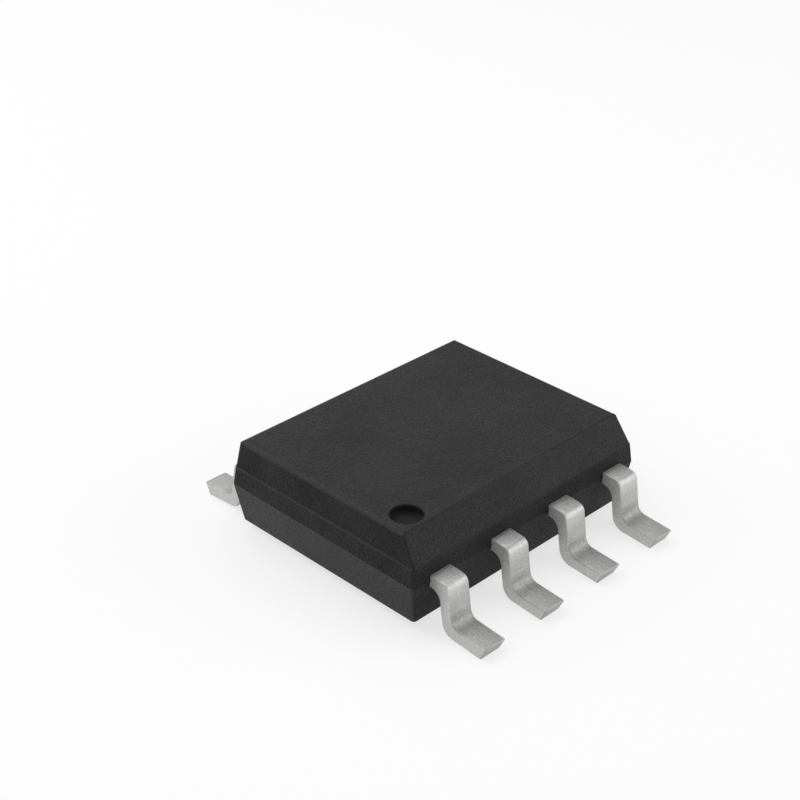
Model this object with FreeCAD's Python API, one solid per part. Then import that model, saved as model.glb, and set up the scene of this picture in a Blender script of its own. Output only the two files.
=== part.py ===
import FreeCAD, Part
import math
import os

# Eight-lead small-outline chip package, in millimetres.
# The origin is the centre of the footprint on the seating plane, where the toes touch the board.
# +X runs along the lead rows from pin 1 to pin 4, +Y from the row of pins 1 to 4 to the opposite row, +Z up.

Vector = FreeCAD.Vector

# Moulded body, measured at its parting plane, where it is widest
body_length = 4.90
body_width = 3.86
standoff = 0.15
lower_height = 0.67
ledge_rise = 0.31
cap_height = 0.45
end_draft = 10.5
side_draft = 8.5
band_draft = 6.0
cap_draft = 7.3
ledge_width = 0.02
bevel_width = 0.22
corner_radius = 0.08
cap_edge_radius = 0.07

# Pin 1 dimple in the top face
dimple_diameter = 0.48
dimple_depth = 0.12
dimple_to_bevel = 0.295
dimple_to_end = 0.375

# Lead frame strip and the lead rows
frame_thickness = 0.20
leads_per_row = 4
lead_pitch = 1.27
lead_width = 0.42
lead_edge_break = 0.02

# Formed gull-wing part of a lead, outside the body
shoulder_slope = 3.5
knee_reach = 0.334
knee_outer_radius = 0.14
knee_inner_radius = 0.19
leg_angle = 8.8
heel_inner_radius = 0.15
heel_outer_radius = 0.23
foot_reach = 0.634
foot_angle = 4.5
toe_undercut = 0.095

# Lead finger held in the plastic
plated_depth = 0.12
finger_depth = 0.58
head_length = 0.30
head_width = 0.72
head_corner_cut = 0.07

# Die paddle, set down below the leads, with a tie bar at each end
paddle_length = 3.20
paddle_width = 2.30
paddle_corner_radius = 0.12
paddle_downset = 0.20
tie_bar_width = 0.36
tie_bar_cover = 0.16
tie_ramp_gap = 0.06
tie_ramp_run = 0.22

# Die and the adhesive under it
die_length = 1.70
die_width = 1.30
die_thickness = 0.28
attach_thickness = 0.03
attach_spread = 0.07
attach_edge_rise = 0.015

# Bond wires, from pads along the die's long edges to the finger heads
wire_diameter = 0.03
wire_flats = 8
ball_diameter = 0.08
ball_height = 0.025
pad_pitch = 0.42
pad_inset = 0.10
loop_height = 0.16
loop_bend = 0.05
landing_run = 0.16
landing_rise = 0.08
landing_bend = 0.05
stitch_length = 0.12
stitch_width = 0.07
stitch_height = 0.012

# Heights above the seating plane
parting_z = standoff + lower_height
ledge_z = parting_z + ledge_rise
top_z = ledge_z + cap_height
frame_top = parting_z + frame_thickness / 2
frame_bottom = parting_z - frame_thickness / 2
paddle_top = frame_top - paddle_downset
attach_top = paddle_top + attach_thickness
die_top = attach_top + die_thickness

# Insets of the body's walls from its outline at the parting plane
lower_end_inset = lower_height * math.tan(math.radians(end_draft))
lower_side_inset = lower_height * math.tan(math.radians(side_draft))
band_inset = ledge_rise * math.tan(math.radians(band_draft))
cap_foot_inset = band_inset + ledge_width
cap_top_inset = cap_foot_inset + cap_height * math.tan(math.radians(cap_draft))
bevel_inset = cap_top_inset + bevel_width
exit_inset = (frame_top - parting_z) * math.tan(math.radians(band_draft))

# Distances from the middle of the body: where the leads leave it, and the inner ends of
# the fingers and of the plating
lead_exit = body_width / 2 - exit_inset
finger_end = body_width / 2 - finger_depth
plating_end = body_width / 2 - plated_depth

# Places that lie closer together than this count as one
same_place = 1e-6


def meeting_point(start, along, other, other_along):
    """The point where the line from start and the line from other cross, in a plane."""
    gap = other - start
    cross = along.x * other_along.y - along.y * other_along.x
    share = (gap.x * other_along.y - gap.y * other_along.x) / cross
    return start + along * share


def rounded_path(corners, radii, closed):
    """Straight runs through the corners, with a tangent arc of the given radius at each corner."""
    edges = []
    count = len(corners)
    turns = range(count) if closed else range(1, count - 1)
    starts = {index: (corners[index], corners[index]) for index in range(count)}
    arcs = {}
    for index in turns:
        corner = corners[index]
        back = (corners[index - 1] - corner).normalize()
        ahead = (corners[(index + 1) % count] - corner).normalize()
        if radii[index] > 0:
            half = back.getAngle(ahead) / 2
            reach = radii[index] / math.tan(half)
            middle = (back + ahead).normalize() * (radii[index] / math.sin(half) - radii[index])
            starts[index] = (corner + back * reach, corner + ahead * reach)
            arcs[index] = Part.Arc(starts[index][0], corner + middle, starts[index][1]).toShape()
    for index in range(count):
        if index in arcs:
            edges.append(arcs[index])
        if index < count - 1 or closed:
            follower = (index + 1) % count
            edges.append(Part.makeLine(starts[index][1], starts[follower][0]))
    return Part.Wire(edges)


def rounded_rectangle(x_low, x_high, y_low, y_high, radius, z):
    """A level rectangular outline with round corners."""
    corners = [
        Vector(x_low, y_low, z),
        Vector(x_high, y_low, z),
        Vector(x_high, y_high, z),
        Vector(x_low, y_high, z),
    ]
    return rounded_path(corners, [radius] * len(corners), True)


def body_outline(z, end_inset, side_inset):
    """The body's outline at one height, set in from the parting plane's outline at ends and sides."""
    half_length = body_length / 2 - end_inset
    half_width = body_width / 2 - side_inset
    return rounded_rectangle(
        -half_length, half_length, -half_width, half_width, corner_radius, z
    )


def cap_corners(z, inset, pin_side_inset):
    """The sharp corners of the cap at one height: the pin 1 side is set in by its own amount."""
    half_length = body_length / 2 - inset
    back = body_width / 2 - inset
    front = pin_side_inset - body_width / 2
    return [
        Vector(-half_length, front, z),
        Vector(half_length, front, z),
        Vector(half_length, back, z),
        Vector(-half_length, back, z),
    ]


def flat_sided_block(low, high):
    """A solid between two level outlines with as many corners, joined by flat walls."""
    underside = list(reversed(low))
    faces = [Part.Face(Part.makePolygon(ring + ring[:1])) for ring in (underside, high)]
    for index in range(len(low)):
        after = (index + 1) % len(low)
        wall = [low[index], low[after], high[after], high[index], low[index]]
        faces.append(Part.Face(Part.makePolygon(wall)))
    shell = Part.makeShell(faces)
    shell.sewShape()
    return Part.makeSolid(shell)


def edges_at(shape, z):
    """The edges of a shape that lie level at one height."""
    found = []
    for edge in shape.Edges:
        box = edge.BoundBox
        if abs(box.ZMin - z) < same_place and abs(box.ZMax - z) < same_place:
            found.append(edge)
    return found


def make_cap():
    """The upper block above the ledge, with the pin 1 bevel as its whole front wall."""
    foot = cap_corners(ledge_z, cap_foot_inset, cap_foot_inset)
    head = cap_corners(top_z, cap_top_inset, bevel_inset)
    block = flat_sided_block(foot, head)
    rim = edges_at(block, top_z)
    uprights = [edge for edge in block.Edges if edge.BoundBox.ZLength > cap_height / 2]
    return block.makeFillet(cap_edge_radius, rim + uprights)


def body_outside():
    """The moulding as it leaves its tool: a lower half, an upper band with a ledge on it, and the cap."""
    underside = body_outline(standoff, lower_end_inset, lower_side_inset)
    parting = body_outline(parting_z, 0, 0)
    ledge = body_outline(ledge_z, band_inset, band_inset)
    lower = Part.makeLoft([underside, parting], True, True)
    band = Part.makeLoft([parting, ledge], True, True)
    return lower.fuse([band, make_cap()])


def dimple():
    """The pin 1 mark that is sunk into the top face, by its end and its bevel."""
    centre_x = cap_top_inset - body_length / 2 + dimple_to_end
    centre_y = bevel_inset - body_width / 2 + dimple_to_bevel
    floor = Vector(centre_x, centre_y, top_z - dimple_depth)
    return Part.makeCylinder(dimple_diameter / 2, 2 * dimple_depth, floor)


def gull_wing_outline():
    """The side outline of a lead outside the body: shoulder, knee, leg, heel, foot and sheared toe.

    X is the distance out from the middle of the body and Y is the height above the seating plane.
    """
    slope = math.radians(shoulder_slope)
    leg = math.radians(leg_angle)
    foot = math.radians(foot_angle)
    down_leg = Vector(math.sin(leg), -math.cos(leg), 0)
    along_foot = Vector(math.cos(foot), -math.sin(foot), 0)
    down_shoulder = Vector(math.cos(slope), -math.sin(slope), 0)
    leg_back = Vector(math.cos(leg), math.sin(leg), 0) * frame_thickness
    foot_square = frame_thickness * math.cos(foot)
    foot_lean = frame_thickness * math.sin(foot)
    toe_height = foot_square - (toe_undercut - foot_lean) * math.tan(foot)
    heel_height = toe_height + foot_reach * math.tan(foot)
    knee_x = body_width / 2 + knee_reach
    knee = Vector(knee_x, frame_top - (knee_x - lead_exit) * math.tan(slope), 0)
    heel = Vector(knee.x + (knee.y - heel_height) * math.tan(leg), heel_height, 0)
    toe = Vector(heel.x + foot_reach, toe_height, 0)
    toe_under = Vector(toe.x - toe_undercut, 0, 0)
    root = Vector(plating_end, frame_top, 0)
    root_under = Vector(plating_end, frame_bottom, 0)
    exit_top = Vector(lead_exit, frame_top, 0)
    exit_under = Vector(lead_exit, frame_bottom, 0)
    knee_under = meeting_point(exit_under, down_shoulder, knee - leg_back, down_leg)
    heel_under = meeting_point(knee - leg_back, down_leg, toe_under, along_foot)
    top = [root, exit_top, knee, heel, toe]
    top_radii = [0, 0, knee_outer_radius, heel_inner_radius, 0]
    under = [toe_under, heel_under, knee_under, exit_under, root_under]
    under_radii = [0, heel_outer_radius, knee_inner_radius, 0, 0]
    return rounded_path(top + under, top_radii + under_radii, True)


def long_edges(bar):
    """The edges that run along a bar bent in the YZ plane, without those across its two ends."""
    found = []
    for edge in bar.Edges:
        box = edge.BoundBox
        across = box.XLength > same_place
        middle = edge.valueAt((edge.FirstParameter + edge.LastParameter) / 2)
        at_root = abs(middle.y - plating_end) < same_place
        at_toe = box.ZMin < same_place
        if not across and not at_root and not at_toe:
            found.append(edge)
    return found


def gull_wing():
    """The formed and plated part of a lead, centred on X = 0 and reaching out along +Y."""
    face = Part.Face(gull_wing_outline())
    face.rotate(Vector(0, 0, 0), Vector(0, 0, 1), 90)
    face.rotate(Vector(0, 0, 0), Vector(0, 1, 0), 90)
    face.translate(Vector(-lead_width / 2, 0, 0))
    bar = face.extrude(Vector(lead_width, 0, 0))
    return bar.makeChamfer(lead_edge_break, long_edges(bar))


def finger():
    """The flat part of a lead that the plastic holds: a neck that widens to a locking head."""
    neck = lead_width / 2
    head = head_width / 2
    cut = head_corner_cut
    head_back = finger_end + head_length
    right = [
        (neck, plating_end),
        (neck, head_back),
        (head - cut, head_back),
        (head, head_back - cut),
        (head, finger_end + cut),
        (head - cut, finger_end),
    ]
    left = [(-x, y) for x, y in reversed(right)]
    outline = [Vector(x, y, frame_bottom) for x, y in right + left + right[:1]]
    return Part.Face(Part.makePolygon(outline)).extrude(Vector(0, 0, frame_thickness))


def pin_places():
    """The X of each lead in a row, from pin 1's end to pin 4's."""
    first = -lead_pitch * (leads_per_row - 1) / 2
    return [first + lead_pitch * step for step in range(leads_per_row)]


def make_leads():
    """All leads by number: the first row on the -Y side from -X to +X, the second row back again."""
    pattern = gull_wing().fuse(finger()).removeSplitter()
    leads = []
    for x in pin_places():
        lead = pattern.copy()
        lead.rotate(Vector(0, 0, 0), Vector(0, 0, 1), 180)
        lead.translate(Vector(x, 0, 0))
        leads.append(lead)
    for x in reversed(pin_places()):
        lead = pattern.copy()
        lead.translate(Vector(x, 0, 0))
        leads.append(lead)
    return leads


def tie_bar():
    """The bar at the paddle's +X end, which climbs to the lead plane and stops inside the plastic."""
    start = paddle_length / 2 - paddle_corner_radius
    ramp_foot = paddle_length / 2 + tie_ramp_gap
    ramp_head = ramp_foot + tie_ramp_run
    end = body_length / 2 - tie_bar_cover
    top = [(start, paddle_top), (ramp_foot, paddle_top), (ramp_head, frame_top), (end, frame_top)]
    corners = [Vector(x, -tie_bar_width / 2, z) for x, z in top]
    under = [corner - Vector(0, 0, frame_thickness) for corner in reversed(corners)]
    outline = Part.makePolygon(corners + under + corners[:1])
    return Part.Face(outline).extrude(Vector(0, tie_bar_width, 0))


def make_paddle():
    """The plate that carries the die, with its two tie bars, stamped from the same strip as the leads."""
    half_length = paddle_length / 2
    half_width = paddle_width / 2
    outline = rounded_rectangle(
        -half_length,
        half_length,
        -half_width,
        half_width,
        paddle_corner_radius,
        paddle_top - frame_thickness,
    )
    plate = Part.Face(outline).extrude(Vector(0, 0, frame_thickness))
    near = tie_bar()
    far = near.copy()
    far.rotate(Vector(0, 0, 0), Vector(0, 0, 1), 180)
    return plate.fuse([near, far]).removeSplitter()


def make_die():
    """The silicon die, a sawn block."""
    corner = Vector(-die_length / 2, -die_width / 2, attach_top)
    return Part.makeBox(die_length, die_width, die_thickness, corner)


def make_attach(die):
    """The adhesive between paddle and die, squeezed out to a low fillet round the die's foot."""
    half_length = die_length / 2 + attach_spread
    half_width = die_width / 2 + attach_spread
    rim = attach_top + attach_edge_rise
    foot = rounded_rectangle(
        -half_length, half_length, -half_width, half_width, attach_spread, paddle_top
    )
    half_length -= attach_spread / 2
    half_width -= attach_spread / 2
    crest = rounded_rectangle(
        -half_length, half_length, -half_width, half_width, attach_spread / 2, rim
    )
    return Part.makeLoft([foot, crest], True, True).cut(die)


def bent_line(corners, reaches):
    """A line through the corners, with each inner corner cut short by its reach on both sides."""
    points = [corners[0]]
    for index in range(1, len(corners) - 1):
        corner = corners[index]
        for neighbour in (corners[index - 1], corners[index + 1]):
            points.append(corner + (neighbour - corner).normalize() * reaches[index - 1])
    return Part.makePolygon(points + corners[-1:])


def wire_section(centre):
    """The level outline of a wire where it leaves its ball, drawn with flats."""
    radius = wire_diameter / 2
    ring = []
    for step in range(wire_flats + 1):
        turn = 2 * math.pi * step / wire_flats
        ring.append(centre + Vector(radius * math.cos(turn), radius * math.sin(turn), 0))
    return Part.makePolygon(ring)


def stitch_bond(spot, along):
    """The flattened tail of a wire on its finger head, which fans out to its end."""
    side = Vector(-along.y, along.x, 0)
    start = spot - along * (stitch_length / 2)
    end = spot + along * (stitch_length / 2)
    narrow = side * (wire_diameter / 2)
    wide = side * (stitch_width / 2)
    outline = [start - narrow, end - wide, end + wide, start + narrow, start - narrow]
    return Part.Face(Part.makePolygon(outline)).extrude(Vector(0, 0, stitch_height))


def bond_wire(pad, spot):
    """One wire: a flattened ball on the die's pad, a loop, and a stitch on the finger head."""
    along = Vector(spot.x - pad.x, spot.y - pad.y, 0).normalize()
    neck = pad + Vector(0, 0, ball_height / 2)
    crest = pad + Vector(0, 0, loop_height)
    landing = spot - along * landing_run + Vector(0, 0, landing_rise)
    below = spot + along * wire_diameter - Vector(0, 0, wire_diameter)
    path = bent_line([neck, crest, landing, below], [loop_bend, landing_bend])
    strand = path.makePipeShell([wire_section(neck)], True, False, 1)
    reach = landing_run
    waste = Part.makeBox(2 * reach, 2 * reach, reach, spot - Vector(reach, reach, reach))
    ball = Part.makeCylinder(ball_diameter / 2, ball_height, pad)
    return strand.cut(waste).fuse([ball, stitch_bond(spot, along)]).removeSplitter()


def make_wires():
    """One wire to each lead, in the order of the leads."""
    wires = []
    places = pin_places()
    pad_y = die_width / 2 - pad_inset
    spot_y = finger_end + head_length / 2
    for side, row in ((-1, places), (1, list(reversed(places)))):
        for x in row:
            pad_x = x / lead_pitch * pad_pitch
            pad = Vector(pad_x, side * pad_y, die_top)
            spot = Vector(x, side * spot_y, frame_top)
            wires.append(bond_wire(pad, spot))
    return wires


def make_body(held):
    """The moulding with the dimple sunk in its top, cast round everything that it holds."""
    solid = body_outside().cut(dimple())
    return solid.cut(held).removeSplitter()


def build():
    """Every piece by name."""
    leads = make_leads()
    paddle = make_paddle()
    die = make_die()
    attach = make_attach(die)
    wires = make_wires()
    pieces = {"mould_body": make_body(leads + [paddle, attach, die] + wires)}
    for number, lead in enumerate(leads, 1):
        pieces["lead_%d" % number] = lead
    pieces["die_paddle"] = paddle
    pieces["die_attach"] = attach
    pieces["die"] = die
    for number, wire in enumerate(wires, 1):
        pieces["bond_wire_%d" % number] = wire
    return pieces


os.makedirs("parts", exist_ok=True)
for name, shape in build().items():
    shape.exportStep("parts/%s.step" % name)
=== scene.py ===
"""The looks of an eight-lead small-outline chip package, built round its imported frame."""

import logging
import math
from dataclasses import dataclass, field, replace
from enum import Enum

import bmesh
import bpy
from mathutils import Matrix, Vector
from mathutils.geometry import tessellate_polygon

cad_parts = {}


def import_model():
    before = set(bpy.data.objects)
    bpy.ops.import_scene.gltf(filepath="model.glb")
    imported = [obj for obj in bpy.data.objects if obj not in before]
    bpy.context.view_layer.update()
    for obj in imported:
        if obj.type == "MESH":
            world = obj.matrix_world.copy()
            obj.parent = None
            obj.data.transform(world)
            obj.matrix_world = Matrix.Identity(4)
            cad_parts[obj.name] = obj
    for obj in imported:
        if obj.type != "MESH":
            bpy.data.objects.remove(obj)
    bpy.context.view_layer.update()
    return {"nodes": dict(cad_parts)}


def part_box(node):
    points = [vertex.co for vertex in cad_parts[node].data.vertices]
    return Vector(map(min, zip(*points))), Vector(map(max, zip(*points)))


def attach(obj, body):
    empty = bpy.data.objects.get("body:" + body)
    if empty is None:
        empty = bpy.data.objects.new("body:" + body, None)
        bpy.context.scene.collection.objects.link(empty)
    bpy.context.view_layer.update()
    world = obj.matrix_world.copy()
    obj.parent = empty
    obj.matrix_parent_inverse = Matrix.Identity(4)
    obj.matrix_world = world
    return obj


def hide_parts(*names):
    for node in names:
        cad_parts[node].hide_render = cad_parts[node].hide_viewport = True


Material = bpy.types.Material
Node = bpy.types.Node
Piece = bpy.types.Object
Socket = bpy.types.NodeSocket
Tree = bpy.types.NodeTree
Tone = tuple[float, float, float]

BODY = "root"
LEAD_COUNT = 8
BODY_CORNERS = 4
WHITE = (1.0, 1.0, 1.0, 1.0)

# One millimetre in Blender's metres. All sizes below are in millimetres.
MM = 0.001
# How far the end corners of an open outline lie beyond the ends that they direct.
BEYOND = 1.0
# The least share of a mitre's length that its runs' distance is taken to be.
LEAST_MITRE = 0.3
# How near two places of an outline count as the same.
SLACK = 0.001
# The middle of a noise, which runs from 0 to 1.
MIDDLE = 0.5
# How strongly large faces keep the shading of a piece flat.
FLAT_WEIGHT = 100

log = logging.getLogger("chip_package")


class Attribute(Enum):
    """Values that the meshes carry at their points for the finishes to read."""

    # Edge value: lightens the rounded edges with handling rub and painted highlight.
    EDGE = "edge_rub_and_highlight"
    BEND = "bend_draw"
    # Painted light at the lead bends: a highlight at the knee, shade at the heel.
    BEND_LIGHT = "painted_bend_light"


class LeadFace(Enum):
    """The kinds of surface on a lead, in the order of its material slots."""

    SKIN = 0
    FLANK = 1
    TOE = 2


class BodyFace(Enum):
    """The kinds of surface on the moulded body, in the order of its material slots."""

    WALL = 0
    MARK = 1
    # The duller copy of the wall finish, which stands in for shade.
    PAINTED_SHADE = 2


class Wall(Enum):
    """The walls of the moulded body that have a profile of their own."""

    END = "end"
    BACK = "back"
    PIN_SIDE = "pin side"


@dataclass(frozen=True)
class Corner:
    """One corner of a flat outline: where it is, how round it is and how finely it turns."""

    across: float
    up: float
    radius: float = 0.0
    steps: int = 1


@dataclass(frozen=True)
class PathPoint:
    """One point of a worked-out outline and how far round a bend it lies, from 0 to 1."""

    across: float
    up: float
    bend: float = 0.0


Profile = list[PathPoint]


def corner_arc(before: Vector, corner: Corner, after: Vector) -> Profile:
    """Round one corner off.

    Args:
        before: The corner's neighbour that the outline comes from.
        corner: The corner, with its radius and the number of steps of its arc.
        after: The corner's neighbour that the outline goes on to.

    Returns:
        The points of the arc, or the corner itself where it has no radius.
    """
    here = Vector((corner.across, corner.up))
    if corner.radius <= 0:
        return [PathPoint(here.x, here.y)]
    back = (before - here).normalized()
    ahead = (after - here).normalized()
    half = back.angle(ahead) / 2
    reach = corner.radius / math.tan(half)
    middle = here + (back + ahead).normalized() * (corner.radius / math.sin(half))
    start = here + back * reach - middle
    turn = start.angle_signed(here + ahead * reach - middle)
    points = []
    for step in range(corner.steps + 1):
        share = step / corner.steps
        cos, sin = math.cos(turn * share), math.sin(turn * share)
        spoke = Vector((start.x * cos + start.y * sin, start.y * cos - start.x * sin))
        bend = math.sin(math.pi * share)
        points.append(PathPoint(middle.x + spoke.x, middle.y + spoke.y, bend))
    return points


def outline(corners: list[Corner], closed: bool) -> Profile:
    """Work out the points of an outline from its corners.

    Args:
        corners: The corners in order.
        closed: Whether the last corner joins the first. An open outline loses its first and
            last corner, which only give the direction of its ends.

    Returns:
        The points of the outline, with an arc at each round corner.
    """
    places = [Vector((corner.across, corner.up)) for corner in corners]
    count = len(corners)
    turns = range(count) if closed else range(1, count - 1)
    points: Profile = []
    for index in turns:
        points += corner_arc(places[index - 1], corners[index], places[(index + 1) % count])
    return points


def lean(rise: float, draft: float) -> float:
    """How far a wall with a draft in degrees leans over a rise."""
    return rise * math.tan(math.radians(draft))


def divided(points: Profile, longest: float, reach: float) -> Profile:
    """Divide the long runs of a closed outline, and let each bend fade out along its runs.

    Args:
        points: The outline.
        longest: The longest run that stays undivided.
        reach: How far a bend's value carries along a straight run.

    Returns:
        The outline with more points on its runs.
    """
    spread: Profile = []
    bends = [Vector((point.across, point.up)) for point in points if point.bend > 0]
    for index, point in enumerate(points):
        follower = points[(index + 1) % len(points)]
        start = Vector((point.across, point.up))
        end = Vector((follower.across, follower.up))
        pieces = max(1, math.ceil((end - start).length / longest))
        for piece in range(pieces):
            place = start.lerp(end, piece / pieces)
            near = min(((place - bend).length for bend in bends), default=reach)
            spread.append(PathPoint(place.x, place.y, max(point.bend, 1 - near / reach, 0.0)))
    return spread


def inset(points: Profile, distance: float) -> Profile:
    """Move a closed clockwise outline inwards by one distance.

    Args:
        points: The outline, clockwise with across to the right and up upwards.
        distance: How far every run moves in.

    Returns:
        The outline with its runs moved in and its corners mitred.
    """
    moved: Profile = []
    for index, point in enumerate(points):
        before = points[index - 1]
        after = points[(index + 1) % len(points)]
        first = Vector((point.across - before.across, point.up - before.up)).normalized()
        second = Vector((after.across - point.across, after.up - point.up)).normalized()
        inward = Vector((first.y + second.y, -first.x - second.x)).normalized()
        share = max(inward.dot(Vector((first.y, -first.x))), LEAST_MITRE)
        shift = inward * (distance / share)
        moved.append(PathPoint(point.across + shift.x, point.up + shift.y, point.bend))
    return moved


def placed(name: str, data: bpy.types.ID) -> Piece:
    """Make an object and put it in the scene.

    Args:
        name: The object's name.
        data: Its mesh, lamp or camera.

    Returns:
        The object.
    """
    made = bpy.data.objects.new(name, data)
    bpy.context.scene.collection.objects.link(made)
    return made


def away(azimuth: float, elevation: float) -> Vector:
    """Work out the direction from the part to a lamp or to the camera.

    Args:
        azimuth: The angle round the part in degrees, 0 in front of the bevelled side.
        elevation: The angle above the floor in degrees.

    Returns:
        The direction, of length 1.
    """
    turn, lift = math.radians(azimuth), math.radians(elevation)
    level = math.cos(lift)
    return Vector((math.sin(turn) * level, -math.cos(turn) * level, math.sin(lift)))


class MeshSketch:
    """Points, faces and point values of one mesh while it is drawn, in millimetres."""

    def __init__(self) -> None:
        """Start with nothing drawn."""
        self.points: list[Vector] = []
        self.faces: list[tuple[int, ...]] = []
        self.paints: list[int] = []
        self.values: dict[Attribute, list[float]] = {kind: [] for kind in Attribute}

    def ring(self, points: list[Vector], values: dict[Attribute, list[float]]) -> list[int]:
        """Add a ring of points.

        Args:
            points: The places of the points.
            values: The points' values, for each kind that isn't 0 all round.

        Returns:
            The numbers of the points.
        """
        first = len(self.points)
        self.points += points
        for kind, held in self.values.items():
            held += values.get(kind, [0.0] * len(points))
        return list(range(first, first + len(points)))

    def face(self, corners: tuple[int, ...], paint: int = 0) -> None:
        """Add one face with the material slot that it takes."""
        self.faces.append(corners)
        self.paints.append(paint)

    def bridge(self, low: list[int], high: list[int], paints: list[int] | None = None) -> None:
        """Join two rings of as many points by quads.

        Args:
            low: The points of the first ring.
            high: The points of the second ring.
            paints: The material slot of each quad, or nothing where all take the first.
        """
        for index in range(len(low)):
            after = (index + 1) % len(low)
            corners = (low[index], low[after], high[after], high[index])
            self.face(corners, paints[index] if paints else 0)

    def pierced_lid(self, rim: list[int], hole: list[int]) -> None:
        """Fill a flat ring that has a round hole in it.

        Args:
            rim: The points of the ring.
            hole: The points of the hole.
        """
        numbers = rim + hole
        loops = [[self.points[number] for number in loop] for loop in (rim, hole)]
        for triangle in tessellate_polygon(loops):
            self.face(tuple(numbers[index] for index in triangle))

    def build(self, name: str, materials: list[Material]) -> Piece:
        """Make the mesh object.

        Args:
            name: The name of the piece.
            materials: Its materials, in the order of its slots.

        Returns:
            The object, smooth-shaded with its flats kept flat.
        """
        mesh = bpy.data.meshes.new(name)
        mesh.from_pydata([tuple(point * MM) for point in self.points], [], self.faces)
        for polygon, paint in zip(mesh.polygons, self.paints):
            polygon.material_index = paint
            polygon.use_smooth = True
        for kind, values in self.values.items():
            layer = mesh.attributes.new(kind.value, "FLOAT", "POINT")
            layer.data.foreach_set("value", values)
        for material in materials:
            mesh.materials.append(material)
        draft = bmesh.new()
        draft.from_mesh(mesh)
        bmesh.ops.recalc_face_normals(draft, faces=draft.faces)
        draft.to_mesh(mesh)
        draft.free()
        piece = placed(name, mesh)
        flats = piece.modifiers.new("flats", "WEIGHTED_NORMAL")
        flats.weight = FLAT_WEIGHT
        flats.keep_sharp = True
        return piece


class NodeSketch:
    """A shader node tree while it is wired up."""

    def __init__(self, tree: Tree) -> None:
        """Wire up the given tree."""
        self.tree = tree

    def node(self, kind: str, **settings: object) -> Node:
        """Add a node.

        Args:
            kind: The node's type name without its ShaderNode prefix.
            **settings: Properties of the node to set.

        Returns:
            The node.
        """
        made = self.tree.nodes.new("ShaderNode" + kind)
        for key, value in settings.items():
            setattr(made, key, value)
        return made

    def feed(self, target: Socket, value: object) -> None:
        """Give one input what it takes.

        Args:
            target: The input.
            value: A plain value to set on it, or an output to join to it.
        """
        if isinstance(value, Socket):
            self.tree.links.new(value, target)
        else:
            target.default_value = value

    def feeds(self, node: Node, **values: object) -> Node:
        """Give several inputs of a node what they take.

        Args:
            node: The node.
            **values: A plain value or an output for each input, named with _ for each space.

        Returns:
            The same node.
        """
        for key, value in values.items():
            self.feed(node.inputs[key.replace("_", " ")], value)
        return node

    def maths(self, operation: str, *values: object) -> Socket:
        """Work out a number from plain values and outputs.

        Args:
            operation: The Math node's operation.
            *values: Its inputs in order.

        Returns:
            The output that carries the result.
        """
        made = self.node("Math", operation=operation)
        for target, value in zip(made.inputs, values):
            self.feed(target, value)
        return made.outputs[0]

    def swing(self, value: Socket, strength: object) -> Socket:
        """Scale how far a noise is from its middle."""
        return self.maths("MULTIPLY", self.maths("SUBTRACT", value, MIDDLE), strength)

    def ranged(self, value: Socket, low: float, high: float) -> Socket:
        """Spread a value that runs from 0 to 1 over another range."""
        made = self.feeds(self.node("MapRange"), Value=value, To_Min=low, To_Max=high)
        return made.outputs["Result"]

    def blend(self, share: Socket, first: Tone, second: Tone) -> Socket:
        """Mix two tones.

        Args:
            share: The share of the second tone.
            first: The first tone.
            second: The second tone.

        Returns:
            The output that carries the mix.
        """
        made = self.node("Mix", data_type="RGBA")
        self.feeds(made, Factor=share, A=(*first, 1.0), B=(*second, 1.0))
        return made.outputs["Result"]

    def noise(self, place: Socket, scale: object, detail: float) -> Node:
        """Add a noise texture."""
        return self.feeds(self.node("TexNoise"), Vector=place, Scale=scale, Detail=detail)

    def attribute(self, kind: Attribute) -> Socket:
        """Read a value that the meshes carry at their points."""
        return self.node("Attribute", attribute_name=kind.value).outputs["Fac"]

    def group(self, tree: Tree, **values: object) -> Node:
        """Place a node group and feed its inputs."""
        return self.feeds(self.node("Group", node_tree=tree), **values)


@dataclass(frozen=True)
class Effects:
    """The node groups that several finishes share, each built once."""

    grain: Tree
    mottle: Tree
    rub_and_highlight: Tree
    streaks: Tree


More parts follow.
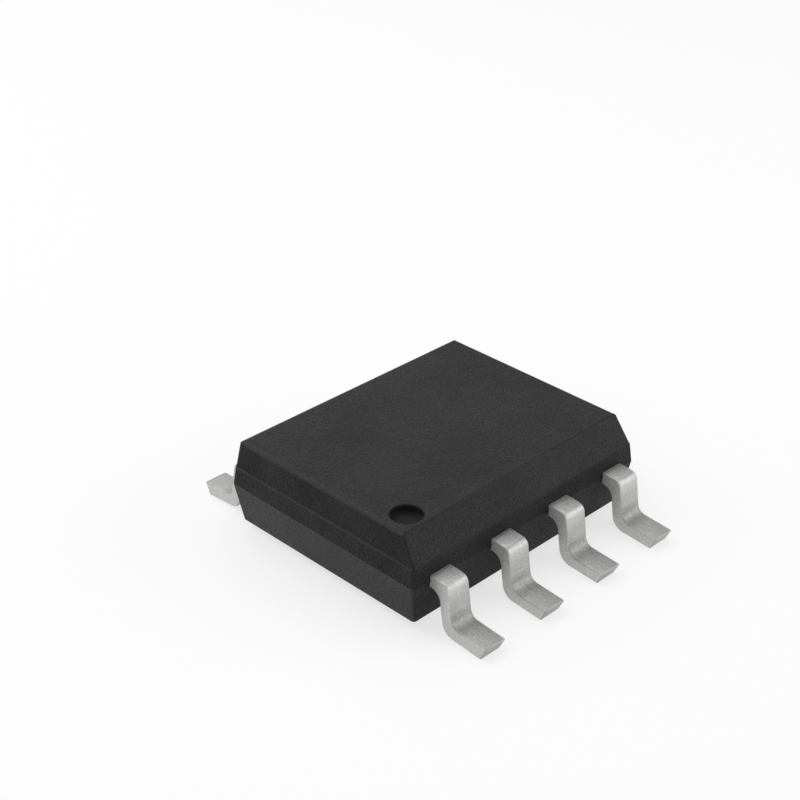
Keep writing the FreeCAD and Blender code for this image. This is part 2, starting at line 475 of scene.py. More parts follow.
@dataclass(frozen=True)
class EffectShop:
    """Builds the shared node groups."""

    dust_fineness: float = 1.7
    dust_detail: float = 3.0
    dust_roughness: float = 0.62
    mottle_detail: float = 2.0
    rub_and_highlight_detail: float = 4.0
    streak_detail: float = 3.0

    def start(
        self, name: str, inputs: dict[str, str], outputs: tuple[str, ...]
    ) -> tuple[NodeSketch, Node, Node]:
        """Open a group with its sockets.

        Args:
            name: The group's name.
            inputs: The socket type of each input by its name.
            outputs: The names of its outputs, which all carry numbers.

        Returns:
            The sketch of its tree, its input node and its output node.
        """
        tree = bpy.data.node_groups.new(name, "ShaderNodeTree")
        for key, kind in inputs.items():
            tree.interface.new_socket(key, in_out="INPUT", socket_type="NodeSocket" + kind)
        for key in outputs:
            tree.interface.new_socket(key, in_out="OUTPUT", socket_type="NodeSocketFloat")
        entry = tree.nodes.new("NodeGroupInput")
        return NodeSketch(tree), entry, tree.nodes.new("NodeGroupOutput")

    def fine_grain(self) -> Tree:
        """Build the grain of a sparked or plated surface: small pits with brighter specks.

        Returns:
            The group.
        """
        sketch, entry, way_out = self.start(
            "fine_grain",
            {"Place": "Vector", "Fineness": "Float", "Contrast": "Float"},
            ("Height", "Speck"),
        )
        given = entry.outputs
        pits = sketch.node("TexVoronoi", feature="SMOOTH_F1")
        sketch.feeds(pits, Vector=given["Place"], Scale=given["Fineness"])
        finer = sketch.maths("MULTIPLY", given["Fineness"], self.dust_fineness)
        dust = sketch.noise(given["Place"], finer, self.dust_detail)
        sketch.feeds(dust, Roughness=self.dust_roughness)
        height = sketch.maths("ADD", pits.outputs["Distance"], dust.outputs["Fac"])
        swing = sketch.swing(dust.outputs["Fac"], given["Contrast"])
        sketch.feeds(way_out, Height=height, Speck=sketch.maths("ADD", swing, MIDDLE))
        return sketch.tree

    def soft_mottle(self) -> Tree:
        """Build the broad unevenness of tone that a moulded or plated surface has.

        Returns:
            The group.
        """
        sketch, entry, way_out = self.start(
            "soft_mottle",
            {"Place": "Vector", "Patch Count": "Float", "Strength": "Float"},
            ("Tone",),
        )
        given = entry.outputs
        cloud = sketch.noise(given["Place"], given["Patch Count"], self.mottle_detail)
        swing = sketch.swing(cloud.outputs["Fac"], given["Strength"])
        sketch.feeds(way_out, Tone=sketch.maths("ADD", swing, MIDDLE))
        return sketch.tree

    def edge_rub_and_highlight(self) -> Tree:
        """Build the uneven lightening along edges: the rub that handling leaves, and painted
        highlight on the rounded edges.

        Returns:
            The group.
        """
        sketch, entry, way_out = self.start(
            "edge_rub_and_highlight",
            {"Place": "Vector", "Edge": "Float", "Patch Count": "Float", "Amount": "Float"},
            ("Mask",),
        )
        given = entry.outputs
        patches = sketch.noise(given["Place"], given["Patch Count"], self.rub_and_highlight_detail)
        uneven = sketch.maths("MULTIPLY", patches.outputs["Fac"], given["Edge"])
        mask = sketch.maths("MULTIPLY", uneven, given["Amount"])
        sketch.feeds(way_out, Mask=sketch.maths("MINIMUM", mask, 1.0))
        return sketch.tree

    def drawn_streaks(self) -> Tree:
        """Build fine lines that run along a strip, as a forming or cutting tool leaves them.

        Returns:
            The group.
        """
        sketch, entry, way_out = self.start(
            "drawn_streaks",
            {"Place": "Vector", "Line Count": "Vector", "Strength": "Float"},
            ("Height", "Line"),
        )
        given = entry.outputs
        stretched = sketch.node("VectorMath", operation="MULTIPLY")
        sketch.feed(stretched.inputs[0], given["Place"])
        sketch.feed(stretched.inputs[1], given["Line Count"])
        lines = sketch.noise(stretched.outputs["Vector"], 1.0, self.streak_detail)
        swing = sketch.swing(lines.outputs["Fac"], given["Strength"])
        sketch.feeds(way_out, Height=swing, Line=sketch.maths("ADD", swing, MIDDLE))
        return sketch.tree

    def build(self) -> Effects:
        """Build all shared groups."""
        groups = (self.fine_grain(), self.soft_mottle(), self.edge_rub_and_highlight(), self.drawn_streaks())
        return Effects(*groups)


@dataclass
class Surface:
    """The make-up of one material while its finish is laid on."""

    sketch: NodeSketch
    effects: Effects
    place: Socket
    share: Socket
    height: Socket

    def lighten(self, amount: Socket) -> None:
        """Add to the share of the light tone."""
        self.share = self.sketch.maths("ADD", self.share, amount)


@dataclass(frozen=True)
class Finish:
    """What a finish has: two tones, a range of gloss, and its grain, mottle, streaks, edge rub
    with painted highlight, painted light at bends, and sheen.
    """

    name: str
    tone: Tone
    light_tone: Tone
    roughness: tuple[float, float]
    grain_count: float
    grain_height: float
    grain_contrast: float = 1.0
    mottle_count: float = 900.0
    mottle_strength: float = 1.0
    metallic: float = 0.0
    rub_and_highlight_amount: float = 0.0
    rub_and_highlight_fineness: float = 3.0
    streak_count: tuple[float, float, float] = (0.0, 0.0, 0.0)
    streak_strength: float = 0.0
    streak_height: float = 0.0
    streaks_at_bends: bool = False
    # How strongly the bends take painted light: highlight at the knee, shade at the heel.
    bend_light_strength: float = 0.0
    specular: float = 0.5
    sheen_coat: float = 0.0
    coat_roughness: float = 0.48

    def material(self, effects: Effects) -> Material:
        """Make the material.

        Args:
            effects: The shared node groups.

        Returns:
            The material, with its tone, gloss and relief varied over the surface.
        """
        made = bpy.data.materials.new(self.name)
        made.use_nodes = True
        sketch = NodeSketch(made.node_tree)
        place = sketch.node("TexCoord").outputs["Object"]
        grain = sketch.group(
            effects.grain, Place=place, Fineness=self.grain_count, Contrast=self.grain_contrast
        )
        mottle = sketch.group(
            effects.mottle,
            Place=place,
            Patch_Count=self.mottle_count,
            Strength=self.mottle_strength,
        )
        share = sketch.maths("MULTIPLY", grain.outputs["Speck"], mottle.outputs["Tone"])
        share = sketch.maths("DIVIDE", share, MIDDLE)
        height = sketch.maths("MULTIPLY", grain.outputs["Height"], self.grain_height)
        surface = Surface(sketch, effects, place, share, height)
        if self.streak_strength > 0:
            self.add_streaks(surface)
        # Lighter along edges: handling rub and painted highlight.
        if self.rub_and_highlight_amount > 0:
            self.add_rub_and_highlight(surface)
        # Painted light at the bends: lighter at the knee as a highlight, darker at the heel as
        # shade.
        if self.bend_light_strength > 0:
            bend_light = sketch.attribute(Attribute.BEND_LIGHT)
            surface.lighten(sketch.maths("MULTIPLY", bend_light, self.bend_light_strength))
        self.cover(made.node_tree.nodes["Principled BSDF"], surface)
        return made

    def add_streaks(self, surface: Surface) -> None:
        """Draw streaks in a surface's tone and relief.

        Args:
            surface: The surface so far.
        """
        sketch = surface.sketch
        strength: object = self.streak_strength
        if self.streaks_at_bends:
            strength = sketch.maths("MULTIPLY", sketch.attribute(Attribute.BEND), strength)
        streaks = sketch.group(
            surface.effects.streaks,
            Place=surface.place,
            Line_Count=self.streak_count,
            Strength=strength,
        )
        surface.lighten(sketch.maths("SUBTRACT", streaks.outputs["Line"], MIDDLE))
        raised = sketch.maths("MULTIPLY", streaks.outputs["Height"], self.streak_height)
        surface.height = sketch.maths("ADD", surface.height, raised)

    def add_rub_and_highlight(self, surface: Surface) -> None:
        """Lighten a surface along its edges with handling rub and painted highlight.

        Args:
            surface: The surface so far.
        """
        rub_and_highlight = surface.sketch.group(
            surface.effects.rub_and_highlight,
            Place=surface.place,
            Edge=surface.sketch.attribute(Attribute.EDGE),
            Patch_Count=self.mottle_count * self.rub_and_highlight_fineness,
            Amount=self.rub_and_highlight_amount,
        )
        surface.lighten(rub_and_highlight.outputs["Mask"])

    def cover(self, skin: Node, surface: Surface) -> None:
        """Join a finished surface to its shader.

        Args:
            skin: The material's Principled shader.
            surface: The surface.
        """
        sketch, share = surface.sketch, surface.share
        sketch.feed(skin.inputs["Base Color"], sketch.blend(share, self.tone, self.light_tone))
        sketch.feed(skin.inputs["Roughness"], sketch.ranged(share, *self.roughness))
        skin.inputs["Metallic"].default_value = self.metallic
        skin.inputs["Specular IOR Level"].default_value = self.specular
        if self.sheen_coat > 0:
            skin.inputs["Coat Roughness"].default_value = self.coat_roughness
            sketch.feed(skin.inputs["Coat Weight"], sketch.ranged(share, 0.0, self.sheen_coat))
        relief = sketch.node("Bump")
        sketch.feeds(relief, Distance=MM, Strength=1.0, Height=surface.height)
        sketch.feed(skin.inputs["Normal"], relief.outputs["Normal"])


MOULDING = Finish(
    name="moulding_compound",
    tone=(0.0060, 0.0061, 0.0061),
    light_tone=(0.0150, 0.0153, 0.0153),
    roughness=(0.56, 0.42),
    grain_count=31000.0,
    grain_height=0.009,
    grain_contrast=3.0,
    mottle_count=700.0,
    mottle_strength=0.6,
    rub_and_highlight_amount=0.8,
    specular=0.175,
    sheen_coat=0.37,
)
# Lighter tone than the moulding: painted light that lifts the shade on the wall inside the dimple.
PIN_MARK = Finish(
    name="pin_mark",
    tone=(0.015, 0.0152, 0.0152),
    light_tone=(0.023, 0.0234, 0.0234),
    roughness=(0.50, 0.38),
    grain_count=30000.0,
    grain_height=0.004,
    grain_contrast=2.0,
    specular=0.08,
)
# Painted shade: a copy of the moulding with less gloss and sheen. It goes on the lead sides below
# the ledge and on the flat band and cap at the two ends, so these faces come out darker, as if
# less light fell on them.
PAINTED_SHADE = replace(
    MOULDING,
    name="painted_shade_moulding",
    roughness=(0.66, 0.54),
    grain_height=0.01,
    mottle_count=1200.0,
    mottle_strength=1.0,
    rub_and_highlight_amount=0.4,
    specular=0.14,
    sheen_coat=0.28,
)
PLATING = Finish(
    name="tin_plating",
    tone=(0.39, 0.39, 0.386),
    light_tone=(0.60, 0.60, 0.594),
    roughness=(0.56, 0.40),
    grain_count=30000.0,
    grain_height=0.005,
    grain_contrast=2.2,
    mottle_count=2500.0,
    mottle_strength=0.3,
    metallic=0.9,
    streak_count=(42000.0, 1500.0, 1500.0),
    streak_strength=0.9,
    streak_height=0.004,
    streaks_at_bends=True,
    bend_light_strength=0.5,
)
SHEARED_FLANK = Finish(
    name="sheared_flank",
    tone=(0.52, 0.517, 0.51),
    light_tone=(0.69, 0.687, 0.68),
    roughness=(0.64, 0.54),
    grain_count=30000.0,
    grain_height=0.006,
    grain_contrast=2.4,
    mottle_count=2500.0,
    mottle_strength=0.5,
    metallic=0.8,
)
SHEARED_TOE = Finish(
    name="sheared_toe",
    tone=(0.31, 0.305, 0.30),
    light_tone=(0.50, 0.49, 0.48),
    roughness=(0.60, 0.48),
    grain_count=24000.0,
    grain_height=0.004,
    metallic=0.9,
    streak_count=(38000.0, 2000.0, 2000.0),
    streak_strength=0.8,
    streak_height=0.006,
)
ROLLED_STRIP = Finish(
    name="rolled_strip",
    tone=(0.62, 0.33, 0.22),
    light_tone=(0.76, 0.44, 0.31),
    roughness=(0.42, 0.28),
    grain_count=20000.0,
    grain_height=0.002,
    metallic=1.0,
    streak_count=(1200.0, 30000.0, 1200.0),
    streak_strength=0.5,
    streak_height=0.002,
)
DIE_ADHESIVE = Finish(
    name="die_adhesive",
    tone=(0.38, 0.38, 0.37),
    light_tone=(0.55, 0.55, 0.54),
    roughness=(0.60, 0.42),
    grain_count=22000.0,
    grain_height=0.005,
    grain_contrast=2.2,
)
SILICON = Finish(
    name="silicon",
    tone=(0.10, 0.11, 0.14),
    light_tone=(0.16, 0.17, 0.20),
    roughness=(0.22, 0.12),
    grain_count=40000.0,
    grain_height=0.0006,
    grain_contrast=0.6,
    metallic=0.6,
)
BOND_GOLD = Finish(
    name="bond_gold",
    tone=(0.80, 0.56, 0.20),
    light_tone=(0.92, 0.70, 0.32),
    roughness=(0.30, 0.18),
    grain_count=50000.0,
    grain_height=0.0008,
    metallic=1.0,
    streak_count=(9000.0, 9000.0, 9000.0),
    streak_strength=0.4,
    streak_height=0.001,
)


@dataclass
class FramedPiece:
    """A piece that is drawn in the box of the CAD node that it stands for."""

    node: str = field(init=False)
    low: Vector = field(init=False)
    high: Vector = field(init=False)
    sketch: MeshSketch = field(init=False)

    def __post_init__(self) -> None:
        """Read the box from the frame, and start with nothing drawn."""
        low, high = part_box(self.node)
        self.low, self.high = low / MM, high / MM
        self.sketch = MeshSketch()


@dataclass
class MouldedBody(FramedPiece):
    """The black moulding, with every edge rounded."""

    node: str = "mould_body"
    lower_height: float = 0.67
    ledge_rise: float = 0.31
    end_draft: float = 10.5
    side_draft: float = 8.5
    band_draft: float = 6.0
    cap_draft: float = 7.3
    ledge_width: float = 0.02
    bevel_width: float = 0.22
    corner_radius: float = 0.075
    foot_corner_radius: float = 0.05
    cap_corner_radius: float = 0.028
    least_corner_radius: float = 0.012
    bottom_edge_radius: float = 0.03
    parting_edge_radius: float = 0.12
    ledge_jog: float = 0.012
    ledge_edge_radius: float = 0.04
    ledge_root_radius: float = 0.006
    top_edge_radius: float = 0.07
    edge_steps: int = 6
    parting_steps: int = 4
    root_steps: int = 3
    rim_steps: int = 10
    least_flat_part: float = 0.1
    # How much the upright corners lighten: handling rub and painted highlight.
    corner_rub_and_highlight: float = 0.4
    corner_steps: int = 8
    dimple_diameter: float = 0.48
    dimple_depth: float = 0.12
    dimple_to_bevel: float = 0.295
    dimple_to_end: float = 0.375
    dimple_edge_radius: float = 0.018
    dimple_floor_radius: float = 0.024
    dimple_edge_steps: int = 5
    dimple_steps: int = 72

    @property
    def parting_z(self) -> float:
        """The height of the parting plane."""
        return self.low.z + self.lower_height

    @property
    def ledge_z(self) -> float:
        """The height of the ledge."""
        return self.parting_z + self.ledge_rise

    @property
    def cap_foot(self) -> float:
        """The inset of the cap's foot on the ledge."""
        return lean(self.ledge_rise, self.band_draft) + self.ledge_width

    @property
    def cap_top(self) -> float:
        """The inset of the top face at the ends and the back."""
        return self.cap_foot + lean(self.high.z - self.ledge_z, self.cap_draft)

    @property
    def bevel_top(self) -> float:
        """The inset of the top face on the bevelled side."""
        return self.cap_top + self.bevel_width

    @property
    def around(self) -> list[tuple[int, float]]:
        """The corner that each point round the body belongs to, and how far round it that is."""
        steps = range(self.corner_steps + 1)
        return [(turn, step / self.corner_steps) for turn in range(BODY_CORNERS) for step in steps]

    def wall_outline(self, wall: Wall) -> Profile:
        """Work out one wall's profile from the underside up to the top face.

        Args:
            wall: Which wall it is.

        Returns:
            The profile, with across as the inset from the parting plane's outline.
        """
        foot = lean(self.lower_height, self.end_draft if wall is Wall.END else self.side_draft)
        top = self.bevel_top if wall is Wall.PIN_SIDE else self.cap_top
        half = self.ledge_jog / 2
        root = self.cap_foot + (top - self.cap_foot) * half / (self.high.z - self.ledge_z)
        band = lean(self.ledge_rise - half, self.band_draft)
        corners = [
            Corner(foot + BEYOND, self.low.z),
            Corner(foot, self.low.z, self.bottom_edge_radius, self.edge_steps),
            Corner(0.0, self.parting_z, self.parting_edge_radius, self.parting_steps),
            Corner(band, self.ledge_z - half, self.ledge_edge_radius, self.edge_steps),
            Corner(root, self.ledge_z + half, self.ledge_root_radius, self.root_steps),
            Corner(top, self.high.z, self.top_edge_radius, self.rim_steps),
            Corner(top + BEYOND, self.high.z),
        ]
        return outline(corners, closed=False)

    def corner_radii(self, profile: Profile) -> list[float]:
        """Work out how round the upright corners are at each level.

        Args:
            profile: The profile of the end walls.

        Returns:
            The radius at each point of the profile.
        """
        rim_start = profile[-self.rim_steps - 1].across
        radii = []
        for index, point in enumerate(profile):
            share = min((point.up - self.low.z) / self.lower_height, 1.0)
            radius = self.foot_corner_radius
            radius += (self.corner_radius - self.foot_corner_radius) * share
            if point.up > self.ledge_z:
                radius = self.cap_corner_radius
            if index > len(profile) - self.rim_steps - 1:
                radius -= point.across - rim_start
            radii.append(max(radius, self.least_corner_radius))
        return radii

    def level(self, number: int, profiles: dict[Wall, Profile], radius: float) -> list[Vector]:
        """Work out the ring of points round the body at one level of the profiles.

        Args:
            number: The level.
            profiles: The profile of each wall.
            radius: The radius of the upright corners there.

        Returns:
            The points, anticlockwise from above, with an arc at each corner.
        """
        end = profiles[Wall.END][number]
        back = profiles[Wall.BACK][number]
        pin_side = profiles[Wall.PIN_SIDE][number]
        left, right = self.low.x + end.across, self.high.x - end.across
        front, rear = self.low.y + pin_side.across, self.high.y - back.across
        corners = (
            (left + radius, front + radius, 180.0, end.up, pin_side.up),
            (right - radius, front + radius, 270.0, pin_side.up, end.up),
            (right - radius, rear - radius, 0.0, end.up, back.up),
            (left + radius, rear - radius, 90.0, back.up, end.up),
        )
        ring = []
        for corner, share in self.around:
            middle_x, middle_y, start, z_from, z_to = corners[corner]
            turn = math.radians(start + 90.0 * share)
            x, y = middle_x + radius * math.cos(turn), middle_y + radius * math.sin(turn)
            ring.append(Vector((x, y, z_from + (z_to - z_from) * share)))
        return ring

    def paints(self, low: float, high: float) -> list[int]:
        """Choose the finish of each quad between two levels.

        The lead sides up to the ledge take painted shade, a duller copy of the moulding. So do the
        flat parts of the band and of the cap at the two ends.

        Args:
            low: The height of the lower level.
            high: The height of the upper level.

        Returns:
            The slot of each quad.
        """
        flat_part = low > self.parting_z and high - low > self.least_flat_part
        # Painted shade: the duller copy goes on the lead sides below the ledge and on the flat
        # parts at the ends.
        side = BodyFace.PAINTED_SHADE if low < self.ledge_z else BodyFace.WALL
        end = BodyFace.PAINTED_SHADE if flat_part else BodyFace.WALL
        chosen = []
        for corner, share in self.around:
            to_lead_side = corner % 2 == 0
            past_middle = share >= 1 / 2
            chosen.append((side if past_middle == to_lead_side else end).value)
        return chosen

    def edge_values(self, bend: float) -> list[float]:
        """Work out the edge value of each point of a ring.

        Args:
            bend: The bend of the walls' profile at the ring's level.

        Returns:
            The bend, or the rub and painted highlight of the upright corners where that is larger.
        """
        return [max(bend, self.corner_rub_and_highlight * math.sin(math.pi * share)) for _, share in self.around]

    def draw_walls(self) -> list[int]:
        """Draw the underside and the walls.

        Returns:
            The ring that bounds the top face.
        """
        sketch = self.sketch
        profiles = {wall: self.wall_outline(wall) for wall in Wall}
        end = profiles[Wall.END]
        previous: list[int] = []
        for number, radius in enumerate(self.corner_radii(end)):
            points = self.level(number, profiles, radius)
            ring = sketch.ring(points, {Attribute.EDGE: self.edge_values(end[number].bend)})
            if previous:
                sketch.bridge(previous, ring, self.paints(end[number - 1].up, end[number].up))
            else:
                sketch.face(tuple(reversed(ring)))
            previous = ring
        return previous

    def draw_dimple(self) -> list[int]:
        """Draw the round pin 1 mark.

        Returns:
            The ring where the mark meets the top face.
        """
        radius = self.dimple_diameter / 2
        floor = self.high.z - self.dimple_depth
        corners = [
            Corner(radius + BEYOND, self.high.z),
            Corner(radius, self.high.z, self.dimple_edge_radius, self.dimple_edge_steps),
            Corner(radius, floor, self.dimple_floor_radius, self.dimple_edge_steps),
            Corner(0.0, floor),
        ]
        from_end = self.cap_top + self.dimple_to_end
        from_side = self.bevel_top + self.dimple_to_bevel
        centre = Vector((self.low.x + from_end, self.low.y + from_side, 0.0))
        rings = []
        for point in outline(corners, closed=False):
            circle = []
            for step in range(self.dimple_steps):
                angle = 2 * math.pi * step / self.dimple_steps
                spoke = Vector((math.cos(angle), math.sin(angle), 0.0)) * point.across
                circle.append(centre + spoke + Vector((0.0, 0.0, point.up)))
            rings.append(self.sketch.ring(circle, {}))
        for high, low in zip(rings, rings[1:]):
            self.sketch.bridge(low, high, [BodyFace.MARK.value] * self.dimple_steps)
        self.sketch.face(tuple(rings[-1]), BodyFace.MARK.value)
        return rings[0]

    def build(self, materials: dict[BodyFace, Material]) -> Piece:
        """Build the body.

        Args:
            materials: The finish of each kind of surface.

        Returns:
            The piece, which stands for its CAD node.
        """
        rim = self.draw_walls()
        mark = self.draw_dimple()
        self.sketch.pierced_lid(rim, mark)
        piece = self.sketch.build("moulded_body", [materials[face] for face in BodyFace])
        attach(piece, BODY)
        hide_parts(self.node)
        return piece


@dataclass
class GullWingLead(FramedPiece):
    """One lead: the formed gull-wing, and the finger that the moulding holds."""

    number: int
    body_half_width: float
    thickness: float = 0.20
    width: float = 0.42
    edge_radius: float = 0.024
    edge_steps: int = 4
    shoulder_slope: float = 3.5
    knee_reach: float = 0.334
    knee_outer_radius: float = 0.14
    knee_inner_radius: float = 0.19
    leg_angle: float = 8.8
    heel_inner_radius: float = 0.15
    heel_outer_radius: float = 0.23
    foot_reach: float = 0.634
    foot_angle: float = 4.5
    toe_undercut: float = 0.095
    bend_steps: int = 12
    longest_run: float = 0.04
    bend_fade: float = 0.16
    # The share of the painted bend light that the heel bends take; below 0 it paints shade there.
    heel_painted_shade: float = -0.8
    exit_inset: float = 0.0105
    plated_depth: float = 0.12
    finger_depth: float = 0.58
    head_length: float = 0.30
    head_width: float = 0.72
    head_corner_cut: float = 0.07

    @property
    def node(self) -> str:
        """The CAD node that the lead stands for."""
        return "lead_%d" % self.number

    @property
    def centre_x(self) -> float:
        """The place of the lead along its row."""
        return (self.low.x + self.high.x) / 2

    @property
    def side(self) -> int:
        """Which way the lead points along Y."""
        return 1 if self.low.y > 0 else -1

    @property
    def root_y(self) -> float:
        """Where the formed and plated part ends inside the moulding."""
        return self.body_half_width - self.plated_depth

    @property
    def finger_end(self) -> float:
        """Where the finger ends inside the moulding."""
        return self.body_half_width - self.finger_depth

    def gull_wing(self) -> Profile:
        """Work out the side outline of the part outside the body.

        Returns:
            The outline, clockwise, with across as the distance from the middle of the body.
        """
        leg = math.radians(self.leg_angle)
        foot = math.radians(self.foot_angle)
        slope = math.tan(foot)
        fall = math.tan(math.radians(self.shoulder_slope))
        top = self.high.z
        under = top - self.thickness
        way_out = self.body_half_width - self.exit_inset
        toe_height = self.thickness * math.cos(foot)
        toe_height -= (self.toe_undercut - self.thickness * math.sin(foot)) * slope
        heel_height = toe_height + self.foot_reach * slope
        knee = self.body_half_width + self.knee_reach
        knee_height = top - (knee - way_out) * fall
        heel = knee + (knee_height - heel_height) * math.tan(leg)
        toe_under = heel + self.foot_reach - self.toe_undercut
        back = Vector((math.cos(leg), math.sin(leg))) * self.thickness
        rise = math.tan(math.pi / 2 - leg)
        line = knee_height - back.y + (knee - back.x) * rise
        knee_under = (line - under - way_out * fall) / (rise - fall)
        heel_under = (line - toe_under * slope) / (rise - slope)
        steps = self.bend_steps
        corners = [
            Corner(self.root_y, top),
            Corner(way_out, top),
            Corner(knee, knee_height, self.knee_outer_radius, steps),
            Corner(heel, heel_height, self.heel_inner_radius, steps),
            Corner(heel + self.foot_reach, toe_height),
            Corner(toe_under, 0.0),
            Corner(
                heel_under, (toe_under - heel_under) * slope, self.heel_outer_radius, steps
            ),
            Corner(
                knee_under, under - (knee_under - way_out) * fall, self.knee_inner_radius, steps
            ),
            Corner(way_out, under),
            Corner(self.root_y, under),
        ]
        return divided(outline(corners, closed=True), self.longest_run, self.bend_fade)

    def place(self, x: float, across: float, up: float) -> Vector:
        """A point of the lead in the part's frame."""
        return Vector((self.centre_x + x, self.side * across, up))

    def draw_gull_wing(self) -> None:
        """Draw the formed part as layers across its width, with round long edges."""
        sketch = self.sketch
        shape = self.gull_wing()
        layers = []
        for step in range(self.edge_steps + 1):
            angle = math.pi / 2 * step / self.edge_steps
            drop = self.edge_radius * (1 - math.sin(angle))
            layers.append((self.width / 2 - self.edge_radius * (1 - math.cos(angle)), drop))
        across = [(-x, drop) for x, drop in layers] + list(reversed(layers))
        toe_tip = max(point.across for point in shape)
        paints = []
        for index, point in enumerate(shape):
            follower = shape[(index + 1) % len(shape)]
            steep = abs(follower.up - point.up) > abs(follower.across - point.across)
            at_toe = min(point.across, follower.across) > toe_tip - self.toe_undercut - SLACK
            paints.append(LeadFace.TOE.value if steep and at_toe else LeadFace.SKIN.value)
        flank = [LeadFace.FLANK.value] * len(shape)
        middle = self.high.z / 2
        bends = [point.bend for point in shape]
        # Painted light at the bends: the upper bends get a painted highlight, the lower bends
        # painted shade.
        bend_light = [
            point.bend if point.up > middle else point.bend * self.heel_painted_shade for point in shape
        ]
        values = {Attribute.BEND: bends, Attribute.BEND_LIGHT: bend_light}
        rings = []
        for x, drop in across:
            ring = [self.place(x, point.across, point.up) for point in inset(shape, drop)]
            edge = math.sin(math.pi * drop / self.edge_radius)
            rings.append(sketch.ring(ring, {**values, Attribute.EDGE: [edge] * len(ring)}))
        sketch.face(tuple(rings[0]), LeadFace.FLANK.value)
        sketch.face(tuple(reversed(rings[-1])), LeadFace.FLANK.value)
        for index in range(len(rings) - 1):
            outermost = index in (0, len(rings) - 2)
            sketch.bridge(rings[index], rings[index + 1], flank if outermost else paints)

    def draw_finger(self) -> None:
        """Draw the flat finger with its locking head, inside the moulding."""
        neck, head, cut = self.width / 2, self.head_width / 2, self.head_corner_cut
        head_back = self.finger_end + self.head_length
        right = [
            (neck, self.root_y),
            (neck, head_back),
            (head - cut, head_back),
            (head, head_back - cut),
            (head, self.finger_end + cut),
            (head - cut, self.finger_end),
        ]
        plan = right + [(-x, y) for x, y in reversed(right)]
        rings = []
        for z in (self.high.z - self.thickness, self.high.z):
            rings.append(self.sketch.ring([self.place(x, y, z) for x, y in plan], {}))
        self.sketch.bridge(rings[0], rings[1])
        self.sketch.face(tuple(rings[0]))
        self.sketch.face(tuple(reversed(rings[1])))

    def build(self, materials: dict[LeadFace, Material]) -> Piece:
        """Build the lead.

        Args:
            materials: The finish of each kind of surface.

        Returns:
            The piece, which stands for its CAD node.
        """
        self.draw_gull_wing()
        self.draw_finger()
        skins = [materials[face] for face in LeadFace]
        piece = self.sketch.build("formed_lead_%d" % self.number, skins)
        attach(piece, BODY)
        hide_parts(self.node)
        return piece


@dataclass
class SealedCore:
    """The pieces inside the moulding, which keep their CAD meshes and get their finishes."""

    nodes: dict[str, Piece]
    wire_count: int = LEAD_COUNT

    def dress(self, node: str, material: Material) -> None:
        """Give a carried-over node its finish.

        Args:
            node: The node's name.
            material: The material that it gets.
        """
        piece = self.nodes[node]
        piece.data.materials.clear()
        piece.data.materials.append(material)
        log.info("dressed %s in %s", node, material.name)

    def build(self, effects: Effects) -> None:
        """Dress the paddle, the adhesive, the die and the wires.

        Args:
            effects: The shared node groups.
        """
        self.dress("die_paddle", ROLLED_STRIP.material(effects))
        self.dress("die_attach", DIE_ADHESIVE.material(effects))
        self.dress("die", SILICON.material(effects))
        gold = BOND_GOLD.material(effects)
        for number in range(1, self.wire_count + 1):
            self.dress("bond_wire_%d" % number, gold)


@dataclass(frozen=True)
class Lamp:
    """A soft rectangular lamp that points at the part, with its angles in degrees."""

    name: str
    azimuth: float
    elevation: float
    size: tuple[float, float]
    radiance: float
    distance: float = 60.0

    def build(self, target: Vector) -> None:
        """Hang the lamp.

        Args:
            target: The point that it faces.
        """
        data = bpy.data.lights.new(self.name, "AREA")
        data.shape = "RECTANGLE"
        data.size, data.size_y = (side * MM for side in self.size)
        data.energy = self.radiance * math.pi * data.size * data.size_y
        lamp = placed(self.name, data)
        direction = away(self.azimuth, self.elevation)
        lamp.location = (target + direction * self.distance) * MM
        lamp.rotation_euler = direction.to_track_quat("Z", "Y").to_euler()


LAMPS = (
    Lamp("overhead_softbox", 165.0, 80.0, size=(120.0, 120.0), radiance=0.60),
    Lamp("back_softbox", -174.0, 58.0, size=(100.0, 70.0), radiance=0.80),
    Lamp("edge_softbox", 134.0, 31.0, size=(60.0, 40.0), radiance=0.10),
    Lamp("front_softbox", 40.0, 29.0, size=(60.0, 40.0), radiance=1.65),
    Lamp("left_softbox", -138.0, 33.0, size=(60.0, 44.0), radiance=0.90),
    Lamp("fill_softbox", -46.0, 32.0, size=(60.0, 60.0), radiance=0.45),
)


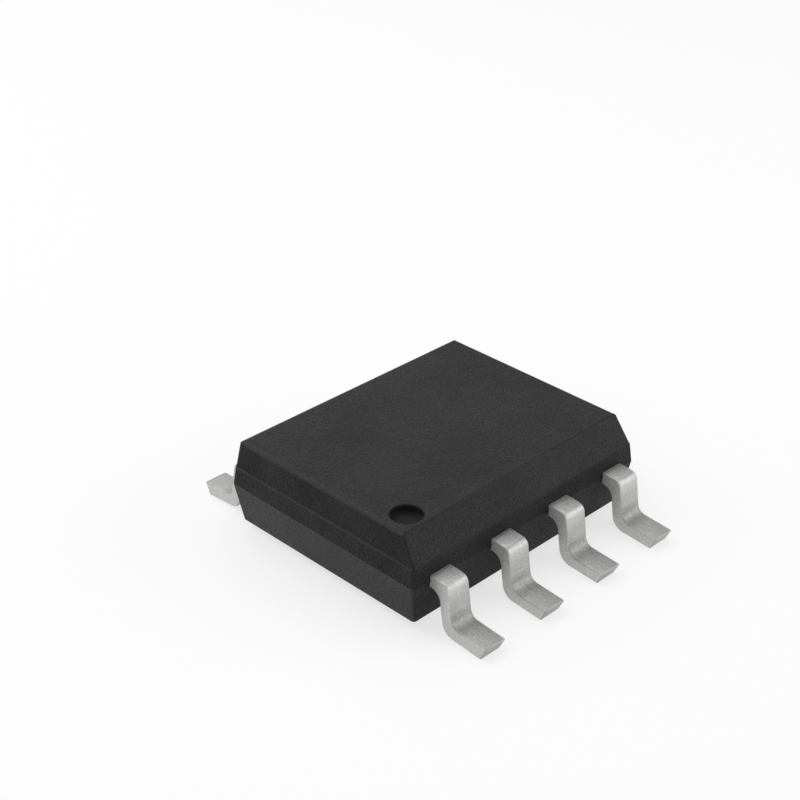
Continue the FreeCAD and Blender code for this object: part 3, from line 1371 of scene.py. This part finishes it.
@dataclass
class Studio:
    """The camera, the pale floor and the soft light, with all angles in degrees."""

    azimuth: float = -45.62
    elevation: float = 30.0
    roll: float = 0.75
    distance: float = 25.918
    aim_height: float = 0.85
    aim_right: float = -0.5548
    aim_up: float = 1.0664
    focal_pixels: float = 1686.4
    frame_pixels: float = 800.0
    sensor_width: float = 36.0
    nearest: float = 1.0
    farthest: float = 1000.0
    floor_half_size: float = 100.0
    floor_tone: Tone = (0.93, 0.93, 0.93)
    seen_floor_tone: Tone = (0.33, 0.33, 0.33)
    floor_glow: float = 0.69
    room_light: float = 0.02
    backdrop_full: float = 12.0
    backdrop_end: float = 19.0

    def camera(self) -> None:
        """Set the camera up at the angle of the reference view."""
        roll = math.radians(self.roll)
        back = away(self.azimuth, self.elevation)
        level = Vector((0.0, 0.0, 1.0)).cross(back).normalized()
        upright = back.cross(level)
        right = level * math.cos(roll) + upright * math.sin(roll)
        up = upright * math.cos(roll) - level * math.sin(roll)
        aim = Vector((0.0, 0.0, self.aim_height))
        place = aim + back * self.distance + level * self.aim_right + upright * self.aim_up
        data = bpy.data.cameras.new("camera")
        data.sensor_width = self.sensor_width
        data.lens = self.sensor_width * self.focal_pixels / self.frame_pixels
        data.clip_start = self.nearest * MM
        data.clip_end = self.farthest * MM
        camera = placed("camera", data)
        for row in range(3):
            camera.matrix_world[row][0] = right[row]
            camera.matrix_world[row][1] = up[row]
            camera.matrix_world[row][2] = back[row]
            camera.matrix_world[row][3] = place[row] * MM
        bpy.context.scene.camera = camera

    def shown(self, sketch: NodeSketch) -> Socket:
        """Tell which rays show the background.

        Args:
            sketch: The tree that asks.

        Returns:
            1 for the rays of the camera, of gloss and of glass, and 0 for the others.
        """
        path = sketch.node("LightPath").outputs
        seen = sketch.maths("MAXIMUM", path["Is Camera Ray"], path["Is Glossy Ray"])
        return sketch.maths("MAXIMUM", seen, path["Is Transmission Ray"])

    def floor(self) -> None:
        """Lay the pale floor, which shows the part's shadow."""
        half = self.floor_half_size * MM
        mesh = bpy.data.meshes.new("floor")
        corners = [(-half, -half, 0.0), (half, -half, 0.0), (half, half, 0.0), (-half, half, 0.0)]
        mesh.from_pydata(corners, [], [(0, 1, 2, 3)])
        material = bpy.data.materials.new("pale_floor")
        material.use_nodes = True
        sketch = NodeSketch(material.node_tree)
        seen = self.shown(sketch)
        sketch.feeds(
            material.node_tree.nodes["Principled BSDF"],
            Base_Color=sketch.blend(seen, self.floor_tone, self.seen_floor_tone),
            Roughness=1.0,
            Specular_IOR_Level=0.0,
            Emission_Color=WHITE,
            Emission_Strength=sketch.maths("MULTIPLY", seen, self.floor_glow),
        )
        mesh.materials.append(material)
        floor = placed("floor", mesh)

    def room(self) -> None:
        """Fill the room with a low, even light, and show a white backdrop low round it."""
        world = bpy.data.worlds.new("soft_room")
        world.use_nodes = True
        bpy.context.scene.world = world
        sketch = NodeSketch(world.node_tree)
        height = sketch.node("SeparateXYZ")
        sketch.feeds(height, Vector=sketch.node("TexCoord").outputs["Generated"])
        full, end = (math.sin(math.radians(a)) for a in (self.backdrop_full, self.backdrop_end))
        below = sketch.maths("SUBTRACT", end, height.outputs["Z"])
        share = sketch.ranged(sketch.maths("DIVIDE", below, end - full), 0.0, 1.0)
        backdrop = sketch.maths("MULTIPLY", self.shown(sketch), share)
        strength = sketch.ranged(backdrop, self.room_light, 1.0)
        light = world.node_tree.nodes["Background"]
        sketch.feeds(light, Color=WHITE, Strength=strength)

    def build(self) -> None:
        """Set the whole studio up."""
        bpy.context.scene.view_settings.view_transform = "Standard"
        self.camera()
        self.floor()
        self.room()
        target = Vector((0.0, 0.0, self.aim_height))
        for lamp in LAMPS:
            lamp.build(target)


def main() -> None:
    """Build every piece round the frame and report it."""
    logging.basicConfig(level=logging.INFO, format="%(name)s: %(message)s")
    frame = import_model()
    Studio().build()
    effects = EffectShop().build()
    lead_finishes = {
        LeadFace.SKIN: PLATING.material(effects),
        LeadFace.FLANK: SHEARED_FLANK.material(effects),
        LeadFace.TOE: SHEARED_TOE.material(effects),
    }
    body_finishes = {
        BodyFace.WALL: MOULDING.material(effects),
        BodyFace.MARK: PIN_MARK.material(effects),
        # The duller copy of the moulding is painted shade.
        BodyFace.PAINTED_SHADE: PAINTED_SHADE.material(effects),
    }
    moulding = MouldedBody()
    body = moulding.build(body_finishes)
    log.info("built %s with %d faces", body.name, len(body.data.polygons))
    for number in range(1, LEAD_COUNT + 1):
        piece = GullWingLead(number, moulding.high.y).build(lead_finishes)
        log.info("built %s with %d faces", piece.name, len(piece.data.polygons))
    SealedCore(frame["nodes"]).build(effects)


if __name__ == "__main__":
    main()
